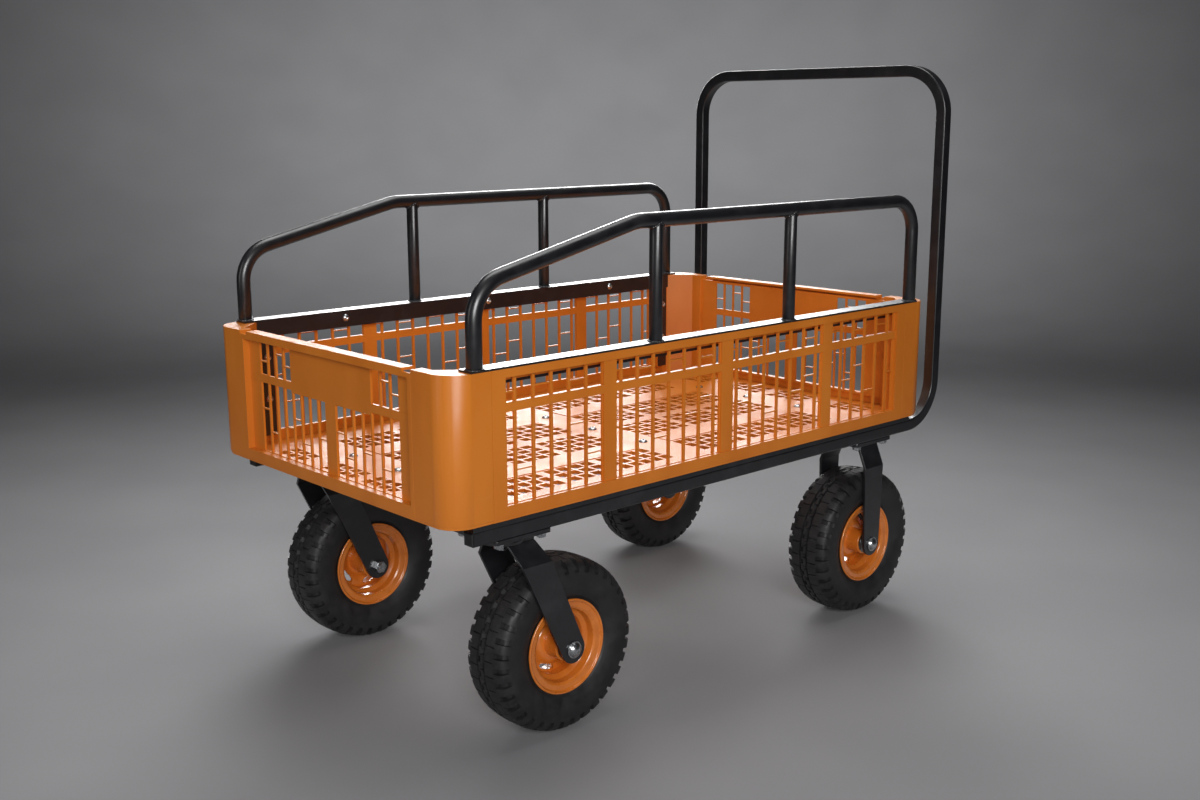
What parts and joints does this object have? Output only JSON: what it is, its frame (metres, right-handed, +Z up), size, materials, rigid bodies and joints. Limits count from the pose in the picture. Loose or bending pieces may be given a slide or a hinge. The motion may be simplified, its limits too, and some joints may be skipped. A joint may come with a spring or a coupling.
{
  "type": "platform cart",
  "caption": "Platform cart with an open-topped perforated crate on a bent-tube frame, side guard rails, a push handle and pneumatic wheels, the leading pair on swivel forks.",
  "frame": {"origin": "on the floor under the centre of the overall bounding box", "axes": "+X towards the leading end, away from the push handle; +Y the cart's left side; +Z up"},
  "size_m": [1.1174, 0.624, 0.9665],
  "materials": {
    "orange_plastic": "injection-moulded, satin",
    "orange_rim": "gloss enamel on pressed steel",
    "black_powder_coat": "smooth gloss powder coat",
    "black_plastic": "moulded plug",
    "zinc_steel": "bright zinc plate",
    "bearing_steel": "ground steel",
    "tyre_rubber": "moulded rubber, matt",
    "valve_rubber": "moulded rubber with a plastic cap"
  },
  "bodies": {
    "chassis": {"axle_rear_left": "zinc_steel", "axle_rear_right": "zinc_steel", "caster_bolts": "zinc_steel", "caster_nuts": "zinc_steel", "caster_plate_front_left": "black_powder_coat", "caster_plate_front_right": "black_powder_coat", "caster_plate_rear_left": "black_powder_coat", "caster_plate_rear_right": "black_powder_coat", "crate_corner_front_left": "orange_plastic", "crate_corner_front_right": "orange_plastic", "crate_corner_rear_left": "orange_plastic", "crate_corner_rear_right": "orange_plastic", "crate_floor": "orange_plastic", "crate_wall_front": "orange_plastic", "crate_wall_left": "orange_plastic", "crate_wall_rear": "orange_plastic", "crate_wall_right": "orange_plastic", "cross_tubes": "black_powder_coat", "deck_straps": "black_powder_coat", "floor_bolts": "zinc_steel", "floor_nuts": "zinc_steel", "fork_rear_left": "black_powder_coat", "fork_rear_right": "black_powder_coat", "frame_tube": "black_powder_coat", "guard_angle_left": "black_powder_coat", "guard_angle_right": "black_powder_coat", "guard_bolts": "zinc_steel", "guard_nuts": "zinc_steel", "guard_posts_left": "black_powder_coat", "guard_posts_right": "black_powder_coat", "guard_rail_left": "black_powder_coat", "guard_rail_right": "black_powder_coat", "hang_straps_left": "black_powder_coat", "hang_straps_right": "black_powder_coat", "kingpin_left": "zinc_steel", "kingpin_right": "zinc_steel", "rail_plugs": "black_plastic", "rail_skirts": "black_powder_coat", "swivel_balls_left": "bearing_steel", "swivel_balls_right": "bearing_steel"},
    "fork_left": {"fork_front_left": "black_powder_coat", "axle_front_left": "zinc_steel"},
    "wheel_front_left": {"tyre_front_left": "tyre_rubber", "rim_front_left": "orange_rim", "bearings_front_left": "bearing_steel", "valve_front_left": "valve_rubber"},
    "wheel_rear_left": {"tyre_rear_left": "tyre_rubber", "rim_rear_left": "orange_rim", "bearings_rear_left": "bearing_steel", "valve_rear_left": "valve_rubber"},
    "fork_right": {"fork_front_right": "black_powder_coat", "axle_front_right": "zinc_steel"},
    "wheel_front_right": {"tyre_front_right": "tyre_rubber", "rim_front_right": "orange_rim", "bearings_front_right": "bearing_steel", "valve_front_right": "valve_rubber"},
    "wheel_rear_right": {"tyre_rear_right": "tyre_rubber", "rim_rear_right": "orange_rim", "bearings_rear_right": "bearing_steel", "valve_rear_right": "valve_rubber"}
  },
  "joints": [
    {"name": "swivel_left", "type": "hinge", "parent": "chassis", "child": "fork_left", "pos_m": [0.42875, 0.2505, 0.3], "axis": [0, 0, 1], "continuous": true},
    {"name": "spin_front_left", "type": "hinge", "parent": "fork_left", "child": "wheel_front_left", "pos_m": [0.34175, 0.2505, 0.13], "axis": [0, 1, 0], "continuous": true},
    {"name": "spin_rear_left", "type": "hinge", "parent": "chassis", "child": "wheel_rear_left", "pos_m": [-0.36925, 0.2505, 0.13], "axis": [0, 1, 0], "continuous": true},
    {"name": "swivel_right", "type": "hinge", "parent": "chassis", "child": "fork_right", "pos_m": [0.42875, -0.2505, 0.3], "axis": [0, 0, 1], "continuous": true},
    {"name": "spin_front_right", "type": "hinge", "parent": "fork_right", "child": "wheel_front_right", "pos_m": [0.34175, -0.2505, 0.13], "axis": [0, 1, 0], "continuous": true},
    {"name": "spin_rear_right", "type": "hinge", "parent": "chassis", "child": "wheel_rear_right", "pos_m": [-0.36925, -0.2505, 0.13], "axis": [0, 1, 0], "continuous": true}
  ]
}
